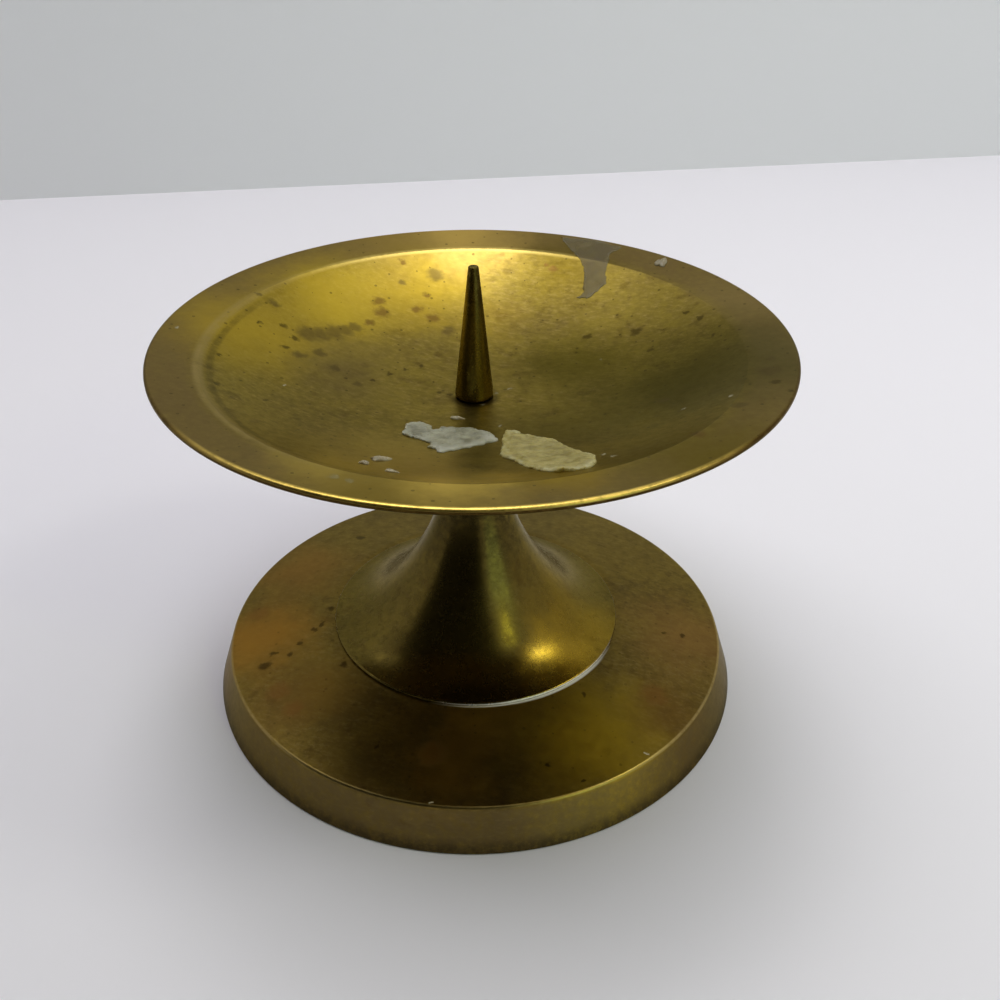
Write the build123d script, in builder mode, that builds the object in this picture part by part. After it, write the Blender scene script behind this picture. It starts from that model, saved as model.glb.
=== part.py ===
from build123d import *

import os

os.makedirs("parts", exist_ok=True)

# Pricket candle stand: a turned stem on a hollow base, with a spun drip dish and the spike that clamps it.
# Millimetres, +Z up. The origin is on the table, at the middle of the base.
# Every metal piece is turned or spun about Z, so each is an outline revolved about that axis.

# Base, a hollow turned foot
base_bottom_radius = 37.1
base_top_radius = 35.0
base_skirt_height = 6.1
base_seat_height = 8.6
base_seat_margin = 0.8
base_wall = 1.8
base_floor = 2.2
base_top_rounding = 0.45
base_foot_rounding = 0.25
spigot_radius = 9.0
spigot_height = 1.2

# Stem, a trumpet that narrows to a neck and opens again under the dish
stem_height = 33.9
stem_foot_radius = 20.2
stem_foot_edge = 0.4
stem_neck_radius = 3.8
stem_mouth_height = 6.6
stem_collar_radius = 7.5
stem_collar_edge = 0.8
stem_land_width = 3.7
stem_relief_depth = 0.7
stem_edge_rounding = 0.15

# Where the flare's long arc meets its short one, on the way out and down from the neck to the foot's edge
flare_knee_out_share = 0.567
flare_knee_down_share = 0.855

# Drip dish, spun from one sheet
dish_radius = 39.6
dish_thickness = 0.8
dish_rim_width = 6.1
dish_rim_dip = 0.95
dish_well_depth = 7.5
dish_landing_radius = 4.0
dish_crease_rounding = 0.9
dish_lip_share = 0.43

# Pricket, a tapered spike on a threaded shank
pricket_height = 17.3
pricket_foot_radius = 2.5
pricket_tip_radius = 0.62
pricket_foot_rounding = 0.5
pricket_tip_chamfer = 0.15
shank_radius = 1.5
shank_length = 9.0
shank_chamfer = 0.3

# Screw and washers under the base
screw_radius = 2.5
screw_length = 14.0
screw_chamfer = 0.4
screw_head_radius = 4.6
screw_head_height = 2.6
screw_head_rounding = 0.7
screw_slot_width = 1.2
screw_slot_depth = 1.3
screw_slot_turn = 35
washer_radius = 5.5
washer_thickness = 0.8
spring_washer_radius = 4.5
spring_washer_thickness = 1.2
spring_washer_gap = 0.8

# Clearances between pieces that fit together
thread_clearance = 0.05
hole_clearance = 0.25
spigot_clearance = 0.1
hole_end_clearance = 1.0

# How far apart two edges' heights may be and still count as the same
height_tolerance = 0.001

# Old wax left on the dish
pale_flake_length = 9.1
pale_flake_width = 11.3
pale_flake_thickness = 0.5
yellow_flake_length = 17.8
yellow_flake_width = 10.0
yellow_flake_thickness = 0.65
film_length = 14.6
film_width = 9.2
film_thickness = 0.2
crumb_length = 4.0
crumb_width = 2.2
crumb_thickness = 0.5

# Where the wax lies: the radius as a share of the dish's, with a bearing and a turn in degrees.
# The two flakes are laid out from the point where they meet, the film from its own middle.
flakes_radius_share = 0.336
flakes_bearing = -77.2
flakes_turn = 90
film_radius_share = 0.845
film_bearing = 58.2
film_turn = 92.2

# Crumbs: radius as a share of the dish's, bearing, turn, and size as a share of the largest crumb's
crumb_place_shares = [
    (0.61, -116.3, -108.4, 1.0),
    (0.695, -115.1, -100.0, 0.62),
    (0.725, -107.8, 150.0, 0.72),
    (0.168, -109.6, 160.0, 0.5),
    (0.93, 43.3, 60.0, 0.72),
]

# Outlines of the wax, as shares of each piece's length and width. The flakes lie to either side of
# one line through their meeting point, so neither reaches across it.
pale_flake_shares = [
    (0.31, 1.02), (0.49, 0.99), (0.56, 0.82), (0.31, 0.68), (0.39, 0.44),
    (0.33, 0.23), (0.30, 0.12), (0.00, 0.02), (-0.28, 0.02), (-0.24, 0.16),
    (-0.31, 0.35), (-0.45, 0.61), (-0.28, 0.73), (-0.08, 0.74), (0.07, 0.95),
]
yellow_flake_shares = [
    (0.15, -0.08), (0.13, -0.26), (0.07, -0.26), (-0.08, -0.64), (-0.36, -0.88),
    (-0.53, -1.01), (-0.69, -1.01), (-0.85, -0.93), (-0.85, -0.64), (-0.72, -0.39),
    (-0.57, -0.24), (-0.30, -0.04), (-0.16, -0.02), (0.03, -0.06),
]
film_shares = [
    (0.44, 0.50), (0.46, 0.18), (0.40, -0.20), (0.26, -0.50), (0.10, -0.40),
    (-0.11, -0.12), (-0.29, -0.12), (-0.38, -0.05), (-0.41, 0.12), (-0.50, 0.23),
    (-0.46, 0.40), (-0.36, 0.26), (-0.10, 0.24), (0.18, 0.39),
]
crumb_shares = [
    (0.50, -0.05), (0.18, -0.38), (-0.34, -0.50), (-0.50, 0.00), (-0.30, 0.30), (0.20, 0.50),
]

# Heights and radii that follow from the sizes above
base_seat_radius = stem_foot_radius + base_seat_margin
stem_neck_height = stem_height - stem_mouth_height
stem_relief_radius = stem_foot_radius - stem_land_width
dish_lip_rounding = dish_lip_share * dish_thickness
stem_top = base_seat_height + stem_height
dish_floor = stem_top + dish_thickness
well_top = dish_floor + dish_well_depth
well_radius = dish_radius - dish_rim_width
rim_top = well_top + dish_rim_dip
shank_bottom = dish_floor - shank_length
pricket_top = dish_floor + pricket_height
washer_top = base_seat_height - base_floor
spring_washer_top = washer_top - washer_thickness
screw_head_top = spring_washer_top - spring_washer_thickness
screw_head_bottom = screw_head_top - screw_head_height
screw_tip = screw_head_top + screw_length


def at_height(part, height):
    """Edges of a part that lie at one height."""
    return part.edges().filter_by_position(Axis.Z, height - height_tolerance, height + height_tolerance)


def outermost(edges):
    """The circle of largest radius among some edges."""
    return edges.sort_by(SortBy.RADIUS)[-1]


# Base: skirt, conical top, flat seat for the stem and a spigot that centres it
with BuildPart() as base:
    base_bore = screw_radius + hole_clearance
    with BuildSketch(Plane.XZ):
        with BuildLine():
            Polyline(
                (base_bore, washer_top),
                (base_bore, base_seat_height + spigot_height),
                (spigot_radius, base_seat_height + spigot_height),
                (spigot_radius, base_seat_height),
                (base_seat_radius, base_seat_height),
                (base_top_radius, base_skirt_height),
                (base_bottom_radius, 0),
                (base_bottom_radius - base_wall, 0),
                (base_top_radius - base_wall, base_skirt_height - base_wall),
                (base_seat_radius, washer_top),
                close=True,
            )
        make_face()
    revolve(axis=Axis.Z)
    fillet(at_height(base, base_skirt_height), base_top_rounding)
    fillet(at_height(base, 0), base_foot_rounding)
base.part.label = "base"
export_step(base.part, "parts/base.step")

# Stem: foot edge, short arc, long arc up to the neck, and a small flare to the collar under the dish
with BuildPart() as stem:
    neck = (stem_neck_radius, base_seat_height + stem_neck_height)
    foot = (stem_foot_radius, base_seat_height + stem_foot_edge)
    knee = (
        neck[0] + flare_knee_out_share * (foot[0] - neck[0]),
        neck[1] + flare_knee_down_share * (foot[1] - neck[1]),
    )
    collar = (stem_collar_radius, stem_top - stem_collar_edge)
    with BuildSketch(Plane.XZ):
        with BuildLine():
            long_arc = TangentArc(neck, knee, tangent=(0, -1))
            TangentArc(knee, foot, tangent=long_arc % 1)
            Polyline(
                foot,
                (stem_foot_radius, base_seat_height),
                (0, base_seat_height),
                (0, stem_top),
                (stem_collar_radius, stem_top),
                collar,
            )
            TangentArc(neck, collar, tangent=(0, 1))
        make_face()
    revolve(axis=Axis.Z)
    fillet(at_height(stem, base_seat_height), stem_edge_rounding)
    fillet(at_height(stem, stem_top), stem_edge_rounding)
    with BuildSketch(Plane.XY.offset(base_seat_height)):
        Circle(stem_relief_radius)
    extrude(amount=stem_relief_depth, mode=Mode.SUBTRACT)
    with BuildSketch(Plane.XY.offset(base_seat_height)):
        Circle(spigot_radius + spigot_clearance)
    extrude(amount=spigot_height + spigot_clearance, mode=Mode.SUBTRACT)
    with BuildSketch(Plane.XY.offset(base_seat_height)):
        Circle(screw_radius + thread_clearance)
    extrude(amount=screw_tip + hole_end_clearance - base_seat_height, mode=Mode.SUBTRACT)
    with BuildSketch(Plane.XY.offset(shank_bottom - hole_end_clearance)):
        Circle(shank_radius + thread_clearance)
    extrude(amount=stem_top + hole_end_clearance - shank_bottom, mode=Mode.SUBTRACT)
stem.part.label = "stem"
export_step(stem.part, "parts/stem.step")

# Drip dish: flat landing, well, crease, rim and lip, with the underside one sheet's thickness lower
with BuildPart() as drip_dish:
    dish_bore = shank_radius + hole_clearance
    with BuildSketch(Plane.XZ):
        with BuildLine():
            Line((dish_bore, dish_floor), (dish_landing_radius, dish_floor))
            TangentArc((dish_landing_radius, dish_floor), (well_radius, well_top), tangent=(1, 0))
            Polyline(
                (well_radius, well_top),
                (dish_radius, rim_top),
                (dish_radius, rim_top - dish_thickness),
                (well_radius, well_top - dish_thickness),
            )
            TangentArc(
                (dish_landing_radius, stem_top), (well_radius, well_top - dish_thickness), tangent=(1, 0)
            )
            Polyline((dish_landing_radius, stem_top), (dish_bore, stem_top), (dish_bore, dish_floor))
        make_face()
    revolve(axis=Axis.Z)
    fillet(at_height(drip_dish, well_top), dish_crease_rounding)
    fillet(at_height(drip_dish, well_top - dish_thickness), dish_crease_rounding)
    fillet(at_height(drip_dish, rim_top), dish_lip_rounding)
    fillet(outermost(at_height(drip_dish, rim_top - dish_thickness)), dish_lip_rounding)
drip_dish.part.label = "drip_dish"
export_step(drip_dish.part, "parts/drip_dish.step")

# Pricket: tapered spike whose shoulder clamps the dish, on a shank that screws into the stem
with BuildPart() as pricket:
    with BuildSketch(Plane.XZ):
        with BuildLine():
            Polyline(
                (0, shank_bottom),
                (shank_radius, shank_bottom),
                (shank_radius, dish_floor),
                (pricket_foot_radius, dish_floor),
                (pricket_tip_radius, pricket_top),
                (0, pricket_top),
                close=True,
            )
        make_face()
    revolve(axis=Axis.Z)
    fillet(outermost(at_height(pricket, dish_floor)), pricket_foot_rounding)
    chamfer(at_height(pricket, pricket_top), pricket_tip_chamfer)
    chamfer(at_height(pricket, shank_bottom), shank_chamfer)
pricket.part.label = "pricket"
export_step(pricket.part, "parts/pricket.step")

# Base screw: slotted pan head, and a shank that passes the washers and the base into the stem
with BuildPart() as base_screw:
    with BuildSketch(Plane.XY.offset(screw_head_bottom)):
        Circle(screw_head_radius)
    extrude(amount=screw_head_height)
    fillet(at_height(base_screw, screw_head_bottom), screw_head_rounding)
    with BuildSketch(Plane.XY.offset(screw_head_top)):
        Circle(screw_radius)
    extrude(amount=screw_length)
    chamfer(at_height(base_screw, screw_tip), screw_chamfer)
    with BuildSketch(Plane.XY.offset(screw_head_bottom)):
        Rectangle(2 * screw_head_radius, screw_slot_width, rotation=screw_slot_turn)
    extrude(amount=screw_slot_depth, mode=Mode.SUBTRACT)
base_screw.part.label = "base_screw"
export_step(base_screw.part, "parts/base_screw.step")

# Plain washer under the base's floor
with BuildPart() as base_washer:
    with BuildSketch(Plane.XY.offset(spring_washer_top)):
        Circle(washer_radius)
        Circle(screw_radius + hole_clearance, mode=Mode.SUBTRACT)
    extrude(amount=washer_thickness)
base_washer.part.label = "base_washer"
export_step(base_washer.part, "parts/base_washer.step")

# Split spring washer between the plain washer and the screw's head
with BuildPart() as spring_washer:
    with BuildSketch(Plane.XY.offset(screw_head_top)):
        Circle(spring_washer_radius)
        Circle(screw_radius + hole_clearance, mode=Mode.SUBTRACT)
        with Locations((spring_washer_radius, 0)):
            Rectangle(2 * (spring_washer_radius - screw_radius), spring_washer_gap, mode=Mode.SUBTRACT)
    extrude(amount=spring_washer_thickness)
spring_washer.part.label = "spring_washer"
export_step(spring_washer.part, "parts/spring_washer.step")


def wax_plane(radius_share, bearing, turn):
    """Plane level with the dish's floor, at the point that wax is laid out from, and turned with it."""
    point = Vector(radius_share * dish_radius, 0, dish_floor).rotate(Axis.Z, bearing)
    return Plane(point, x_dir=Vector(1, 0, 0).rotate(Axis.Z, turn), z_dir=(0, 0, 1))


def wax_face(plane, shares, length, width):
    """Outline of a wax piece in the plan, from shares of its length and width."""
    with BuildSketch(plane) as outline:
        with BuildLine():
            Polyline(*[(along * length, across * width) for along, across in shares], close=True)
        make_face()
    return outline.sketch


# Each wax piece is the space over its outline that a raised copy of the dish fills beyond the dish itself
wax_reach = rim_top + dish_thickness - dish_floor
flakes_plane = wax_plane(flakes_radius_share, flakes_bearing, flakes_turn)

# Pale flake of wax, thin and bluish white
with BuildPart() as wax_flake_pale:
    pale_face = wax_face(flakes_plane, pale_flake_shares, pale_flake_length, pale_flake_width)
    extrude(pale_face, amount=wax_reach)
    add(drip_dish.part.moved(Location((0, 0, pale_flake_thickness))), mode=Mode.INTERSECT)
    add(drip_dish.part, mode=Mode.SUBTRACT)
wax_flake_pale.part.label = "wax_flake_pale"
export_step(wax_flake_pale.part, "parts/wax_flake_pale.step")

# Yellow flake of wax, thicker, that runs up the front of the well
with BuildPart() as wax_flake_yellow:
    yellow_face = wax_face(flakes_plane, yellow_flake_shares, yellow_flake_length, yellow_flake_width)
    extrude(yellow_face, amount=wax_reach)
    add(drip_dish.part.moved(Location((0, 0, yellow_flake_thickness))), mode=Mode.INTERSECT)
    add(drip_dish.part, mode=Mode.SUBTRACT)
wax_flake_yellow.part.label = "wax_flake_yellow"
export_step(wax_flake_yellow.part, "parts/wax_flake_yellow.step")

# Film of wax over the back of the rim, with a tongue that ran down into the well. It stops where the
# lip's rounding begins.
with BuildPart() as wax_film:
    film_plane = wax_plane(film_radius_share, film_bearing, film_turn)
    extrude(wax_face(film_plane, film_shares, film_length, film_width), amount=wax_reach)
    with BuildSketch(Plane.XY.offset(dish_floor)):
        Circle(dish_radius - dish_lip_rounding)
    extrude(amount=wax_reach, mode=Mode.INTERSECT)
    add(drip_dish.part.moved(Location((0, 0, film_thickness))), mode=Mode.INTERSECT)
    add(drip_dish.part, mode=Mode.SUBTRACT)
wax_film.part.label = "wax_film"
export_step(wax_film.part, "parts/wax_film.step")

# Crumbs of wax, alike in outline and different in size
with BuildPart() as wax_crumbs:
    for radius_share, bearing, turn, size_share in crumb_place_shares:
        crumb_plane = wax_plane(radius_share, bearing, turn)
        length, width = size_share * crumb_length, size_share * crumb_width
        extrude(wax_face(crumb_plane, crumb_shares, length, width), amount=wax_reach)
    add(drip_dish.part.moved(Location((0, 0, crumb_thickness))), mode=Mode.INTERSECT)
    add(drip_dish.part, mode=Mode.SUBTRACT)
wax_crumbs.part.label = "wax_crumbs"
export_step(wax_crumbs.part, "parts/wax_crumbs.step")
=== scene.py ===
import math

import bpy
import numpy as np
from mathutils import Matrix, Vector


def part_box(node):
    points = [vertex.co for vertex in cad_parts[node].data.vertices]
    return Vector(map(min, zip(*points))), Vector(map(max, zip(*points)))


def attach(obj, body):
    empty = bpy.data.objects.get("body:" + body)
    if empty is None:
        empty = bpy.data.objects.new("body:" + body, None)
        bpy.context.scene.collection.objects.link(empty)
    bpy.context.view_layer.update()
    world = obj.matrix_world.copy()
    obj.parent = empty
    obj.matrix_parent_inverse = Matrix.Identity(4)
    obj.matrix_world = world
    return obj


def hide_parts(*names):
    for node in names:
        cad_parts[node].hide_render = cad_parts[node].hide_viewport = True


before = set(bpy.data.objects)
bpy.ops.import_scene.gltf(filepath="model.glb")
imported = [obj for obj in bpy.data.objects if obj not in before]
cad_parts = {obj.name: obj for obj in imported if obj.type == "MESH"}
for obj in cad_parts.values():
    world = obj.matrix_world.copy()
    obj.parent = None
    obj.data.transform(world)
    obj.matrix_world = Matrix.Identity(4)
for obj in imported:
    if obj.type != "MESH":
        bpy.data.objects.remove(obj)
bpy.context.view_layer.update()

# Pricket candle stand of aged brass. Sizes are in millimetres and turned to metres by this one value.
mm = 0.001


def size_of(node):
    """Half width and lowest and highest point of a turned node, in millimetres."""
    low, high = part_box(node)
    return high.x / mm, low.z / mm, high.z / mm


dish_radius, _, rim_top = size_of("drip_dish")
stem_foot_radius, seat_height, stem_top = size_of("stem")
base_radius, _, spigot_top = size_of("base")
pricket_foot_radius, shank_bottom, pricket_top = size_of("pricket")

# Drip dish
sheet_thickness = 0.8
rim_width = 6.1
rim_dip = 0.95
landing_radius = 4.0
dish_bore = 1.75
crease_rounding = 0.9
lip_rounding = 0.344
well_radius = dish_radius - rim_width
well_top = rim_top - rim_dip
dish_floor = stem_top + sheet_thickness

# Stem
collar_radius = 7.5
collar_edge = 0.8
neck_radius = 3.8
neck_height = stem_top - 6.6
foot_edge = 0.4
foot_land = 3.7
relief_depth = 0.7
knee_out_share = 0.567
knee_down_share = 0.855
stem_edge_rounding = 0.15
stem_foot_rounding = 0.3

# Base
skirt_height = 6.1
skirt_top_radius = 35.0
seat_radius = 21.0
base_wall = 1.8
base_floor = 2.2
base_bore = 2.75
spigot_radius = 9.0
edge_rounding = 0.45
foot_rounding = 0.25

# Pricket. Its taper runs on to a foot a little wider than the pricket is once that corner is rounded.
tip_radius = 0.62
tip_rounding = 0.15
shank_radius = 1.5
taper_overrun = 0.057
pricket_foot_rounding = 0.5

# Wax
pale_thickness = 0.5
yellow_thickness = 0.65
film_thickness = 0.16
thinnest_wax = 0.01
wax_bedding = 0.015

# Steps round each turned piece
broad_turns = 512
stem_turns = 384
pricket_turns = 96


# Camera of the photograph, found from the circles of the dish and the base: place in millimetres,
# lens for a sensor 36 mm wide, and how far it looks down, looks right and is rolled, in degrees
camera_place = (0.0, -126.43, 108.31)
camera_lens = 39.79
camera_down = 32.617
camera_right = 1.528
camera_roll = 0.376


def add_camera():
    """Camera that looks along +Y, then is turned right, tipped down and rolled a little."""
    data = bpy.data.cameras.new("camera")
    data.lens = camera_lens
    data.sensor_width = 36
    data.clip_start = 5 * mm
    camera = bpy.data.objects.new("camera", data)
    turn = Matrix.Rotation(-math.radians(camera_right), 4, "Z")
    tip = Matrix.Rotation(math.radians(90 - camera_down), 4, "X")
    roll = Matrix.Rotation(math.radians(camera_roll), 4, "Z")
    camera.matrix_world = Matrix.Translation([v * mm for v in camera_place]) @ turn @ tip @ roll
    bpy.context.scene.collection.objects.link(camera)
    bpy.context.scene.camera = camera


# Outlines and surfaces

def arc(start, end, heading, steps=32):
    """Circular arc that leaves start along heading and ends at end.

    Its centre lies on the line through start square to heading, as far off as makes both ends
    equally distant, and its points divide the angle between them evenly."""
    start, end, heading = (np.array(v, float) for v in (start, end, heading))
    heading /= np.linalg.norm(heading)
    normal = np.array([-heading[1], heading[0]])
    chord = end - start
    radius = chord @ chord / (2 * chord @ normal)
    centre = start + radius * normal
    spoke = start - centre
    turn = 2 * math.atan2(chord @ normal, chord @ heading)
    angles = np.linspace(0, turn, steps + 1)
    return centre + np.stack(
        [
            spoke[0] * np.cos(angles) - spoke[1] * np.sin(angles),
            spoke[0] * np.sin(angles) + spoke[1] * np.cos(angles),
        ],
        axis=1,
    )


def line(start, end, steps=1):
    """Straight run from start to end in equal steps."""
    share = np.linspace(0, 1, steps + 1)[:, None]
    return np.array(start, float) * (1 - share) + np.array(end, float) * share


def outline(*runs):
    """Runs joined end to end, with the points that two runs share kept once."""
    points = np.concatenate(runs)
    apart = np.linalg.norm(np.diff(points, axis=0), axis=1) > 1e-6
    return points[np.concatenate([[True], apart])]


def rounded(points, corner, radius, steps=6):
    """Outline with one corner rounded.

    The corner gives way to an arc that touches both of its sides, and one more point on each side
    close to the arc keeps the shading of the flats beside it even."""
    count = len(points)
    at = int(np.argmin(np.linalg.norm(points - np.array(corner), axis=1)))
    before, here, after = points[at - 1], points[at], points[(at + 1) % count]
    back = (before - here) / np.linalg.norm(before - here)
    ahead = (after - here) / np.linalg.norm(after - here)
    half = 0.5 * math.acos(np.clip(back @ ahead, -1, 1))
    setback = radius / math.tan(half)
    bisector = (back + ahead) / np.linalg.norm(back + ahead)
    centre = here + bisector * radius / math.sin(half)
    first = here + back * setback - centre
    last = here + ahead * setback - centre
    share = np.linspace(0, 1, steps + 1)[:, None]
    opening = math.acos(np.clip(first @ last / radius**2, -1, 1))
    bend = (np.sin((1 - share) * opening) * first + np.sin(share * opening) * last) / math.sin(opening)
    margin = 0.15 * radius
    beside = [here + back * (setback + margin)], [here + ahead * (setback + margin)]
    return np.concatenate([points[:at], beside[0], centre + bend, beside[1], points[at + 1 :]])


def mesh_piece(name, vertices, faces, slot, nodes):
    """Mesh object from points in millimetres, that rides on the body and stands for its CAD nodes."""
    mesh = bpy.data.meshes.new(name)
    mesh.from_pydata((np.asarray(vertices) * mm).tolist(), [], [list(face) for face in faces])
    mesh.update()
    mesh.shade_smooth()
    piece = bpy.data.objects.new(name, mesh)
    bpy.context.scene.collection.objects.link(piece)
    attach(piece, "root")
    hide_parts(*nodes)
    return piece


def revolve(points, turns, closed):
    """Surface swept by an outline turned about Z.

    Point (r, z) at angle a goes to (r cos a, r sin a, z). A closed outline makes a ring without
    ends; an open one starts and ends on the axis, where one vertex closes the surface."""
    ring = points if closed else points[1:-1]
    angles = np.arange(turns) * 2 * math.pi / turns
    radii, heights = ring[:, :1], ring[:, 1:]
    vertices = np.stack(
        [radii * np.cos(angles), radii * np.sin(angles), np.broadcast_to(heights, (len(ring), turns))],
        axis=2,
    ).reshape(-1, 3)
    along = np.arange(len(ring) if closed else len(ring) - 1)[:, None]
    around = np.arange(turns)[None, :]
    following = (along + 1) % len(ring)
    beside = (around + 1) % turns
    faces = np.stack(
        [
            along * turns + around,
            along * turns + beside,
            following * turns + beside,
            following * turns + around,
        ],
        axis=2,
    ).reshape(-1, 4).tolist()
    if not closed:
        poles = len(vertices)
        vertices = np.concatenate([vertices, [[0, 0, points[0, 1]], [0, 0, points[-1, 1]]]])
        last = (len(ring) - 1) * turns
        faces += [[poles, (k + 1) % turns, k] for k in range(turns)]
        faces += [[poles + 1, last + k, last + (k + 1) % turns] for k in range(turns)]
    return vertices, faces


# Materials

def linear(hex_colour):
    """Linear colour with alpha from an sRGB hex value."""
    channels = [int(hex_colour[k : k + 2], 16) / 255 for k in (1, 3, 5)]
    return [c / 12.92 if c <= 0.04045 else ((c + 0.055) / 1.055) ** 2.4 for c in channels] + [1.0]


class Finish:
    """Material under construction: one method adds a node with its settings and its links."""

    def __init__(self, name):
        self.material = bpy.data.materials.new(name)
        self.material.use_nodes = True
        self.tree = self.material.node_tree
        self.tree.nodes.clear()

    def add(self, kind, sockets=None, **settings):
        """Node of a kind. A socket takes a value, an output of a node, or a node for its first output."""
        node = self.tree.nodes.new(kind)
        for key, value in settings.items():
            setattr(node, key, value)
        for key, value in (sockets or {}).items():
            if isinstance(value, bpy.types.Node):
                value = value.outputs[0]
            if isinstance(value, bpy.types.NodeSocket):
                self.tree.links.new(value, node.inputs[key])
            else:
                node.inputs[key].default_value = value
        return node


# Sockets of Blender's Mix node when it mixes colours, and of its colour result. A Map Range node's
# sockets are 0 for the value, 1 and 2 for the range it reads, 3 and 4 for the range it gives.
MIX_A, MIX_B, MIX_COLOUR = 6, 7, 2


def aged_brass(
    name, clean, dull, under=None, rings=(), bands=(), washes=(), stains=(), dirt=(), worn=(), seams=(),
    roughness=0.3, relief=0.1, wear=0.2,
):
    """Aged brass, turned or spun, then left to tarnish: darker and browner where it is thick.

    clean and dull are the hex colours of thin and thick tarnish, and under that of the faces that look
    down, a painted shade. The marks on it are tables, in millimetres and degrees:
    rings: (inner radius, outer radius, colour, strength)
    bands: (height where it starts, height where it is full, colour, strength)
    washes, soft patches of another shade, tarnish and painted reflection alike: (x, y, reach, colour,
    strength)
    stains on faces that look up: (colour, strength, [(x, y, reach), ...])
    dirt: the same as stains, but it hides the metal
    worn, lines along an edge, of wear and of painted highlight and shade: (radius, height, width, colour,
    strength, bearing, half spread)
    seams: the same as worn, but laid on as a white film that hides the metal: painted highlights
    roughness is the metal's own, relief the strength of its turning marks and wear that of its fine
    light and dark scuffs and dark specks."""
    finish = Finish(name)
    add = finish.add
    place = add("ShaderNodeTexCoord")
    in_mm = {0: place.outputs["Object"], 1: [1 / mm] * 3}
    position = add("ShaderNodeVectorMath", in_mm, operation="MULTIPLY")
    height = add("ShaderNodeSeparateXYZ", {0: position}).outputs[2]
    flat = add("ShaderNodeVectorMath", {0: position, 1: [1, 1, 0]}, operation="MULTIPLY")
    outward = add("ShaderNodeVectorMath", {0: flat}, operation="NORMALIZE")
    radius = add("ShaderNodeVectorMath", {0: flat}, operation="LENGTH").outputs["Value"]
    profile = add("ShaderNodeCombineXYZ", {0: radius, 1: height})
    tilt = add("ShaderNodeSeparateXYZ", {0: place.outputs["Normal"]}).outputs[2]
    level = add("ShaderNodeMapRange", {0: tilt, 1: 0.4, 2: 0.6, 3: 0.0, 4: 1.0})

    def moved(scale, reach):
        """Place on the plan moved about by noise, which makes outlines drawn around it ragged."""
        noise = {"Vector": position, "Scale": scale, "Detail": 5.0, "Roughness": 0.6}
        noise = add("ShaderNodeTexNoise", noise).outputs["Color"]
        shake = add("ShaderNodeVectorMath", {0: noise, 1: [0.5] * 3}, operation="SUBTRACT")
        shaken = {0: shake, 1: [reach, reach, 0], 2: flat}
        return add("ShaderNodeVectorMath", shaken, operation="MULTIPLY_ADD")

    def nearness(plan, x, y, solid, reach):
        """1 within solid of a point of the plan, 0 beyond reach."""
        away = add("ShaderNodeVectorMath", {0: plan, 1: [x, y, 0]}, operation="DISTANCE")
        fade = {0: away.outputs["Value"], 1: solid, 2: reach, 3: 1.0, 4: 0.0}
        return add("ShaderNodeMapRange", fade, interpolation_type="SMOOTHSTEP")

    def product(*factors):
        """Factors multiplied together, each of them a number or a node."""
        result = factors[0]
        for factor in factors[1:]:
            result = add("ShaderNodeMath", {0: result, 1: factor}, operation="MULTIPLY")
        return result

    def paint(colour, over, amount):
        """Colour with a hex colour laid over it, by an amount between 0 and 1."""
        mixed = {0: amount, MIX_A: colour, MIX_B: linear(over)}
        return add("ShaderNodeMix", mixed, data_type="RGBA").outputs[MIX_COLOUR]

    # Tarnish in clouds about a centimetre across, with mottling of a millimetre in it and brown blots
    # of two to three millimetres over it
    broad = {"Vector": position, "Scale": 0.085, "Detail": 8.0, "Roughness": 0.62}
    clouds = add("ShaderNodeTexNoise", broad)
    small = {"Vector": position, "Scale": 0.8, "Detail": 7.0, "Roughness": 0.72}
    mottle = add("ShaderNodeTexNoise", small)
    cloudy = add("ShaderNodeMapRange", {0: clouds, 1: 0.32, 2: 0.68, 3: 0.0, 4: 0.8})
    fine = add("ShaderNodeMapRange", {0: mottle, 1: 0.3, 2: 0.7, 3: -0.4, 4: 0.4})
    amount = add("ShaderNodeMath", {0: cloudy, 1: fine}, operation="ADD", use_clamp=True)
    patchy = add("ShaderNodeMapRange", {0: mottle, 1: 0.32, 2: 0.55, 3: 0.35, 4: 1.0})
    colour = paint(linear(clean), dull, amount)
    middling = {"Vector": position, "Scale": 0.42, "Detail": 4.0, "Roughness": 0.55}
    blots = add("ShaderNodeTexNoise", middling)
    blotted = add("ShaderNodeMapRange", {0: blots, 1: 0.58, 2: 0.68, 3: 0.0, 4: 0.45})
    colour = paint(colour, "#4e3c1a", blotted)

    # Fine wear: scuffs about half a millimetre wide and twice as long, drawn coarser than they are so
    # that they show
    slanted = add("ShaderNodeVectorRotate", {"Vector": position, "Axis": [0, 0, 1], "Angle": 0.35})
    slanted = add("ShaderNodeVectorMath", {0: slanted, 1: [0.8, 1.9, 2.2]}, operation="MULTIPLY")
    short = {"Vector": slanted, "Scale": 1.0, "Detail": 8.0, "Roughness": 0.75}
    scuffs = add("ShaderNodeTexNoise", short)
    scuffed = add("ShaderNodeMapRange", {0: scuffs, 1: 0.5, 2: 0.72, 3: 0.0, 4: wear})
    colour = paint(colour, "#c0a868", scuffed)
    darkened = add("ShaderNodeMapRange", {0: scuffs, 1: 0.46, 2: 0.28, 3: 0.0, 4: wear})
    colour = paint(colour, "#3a2e14", darkened)

    # Marks at their own places. Washes lie on a loosely shaken plan and stains and dirt on a finely
    # shaken one, so that none of them has a drawn outline.
    for inner, outer, over, strength in rings:
        rise = {0: radius, 1: inner - 0.6, 2: inner + 1.6, 3: 0.0, 4: strength}
        inside = add("ShaderNodeMapRange", rise)
        fall = {0: radius, 1: outer - 0.3, 2: outer + 0.3, 3: 1.0, 4: 0.0}
        outside = add("ShaderNodeMapRange", fall)
        uneven = add("ShaderNodeMapRange", {0: mottle, 1: 0.3, 2: 0.6, 3: 0.7, 4: 1.0})
        colour = paint(colour, over, product(inside, outside, uneven))

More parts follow.
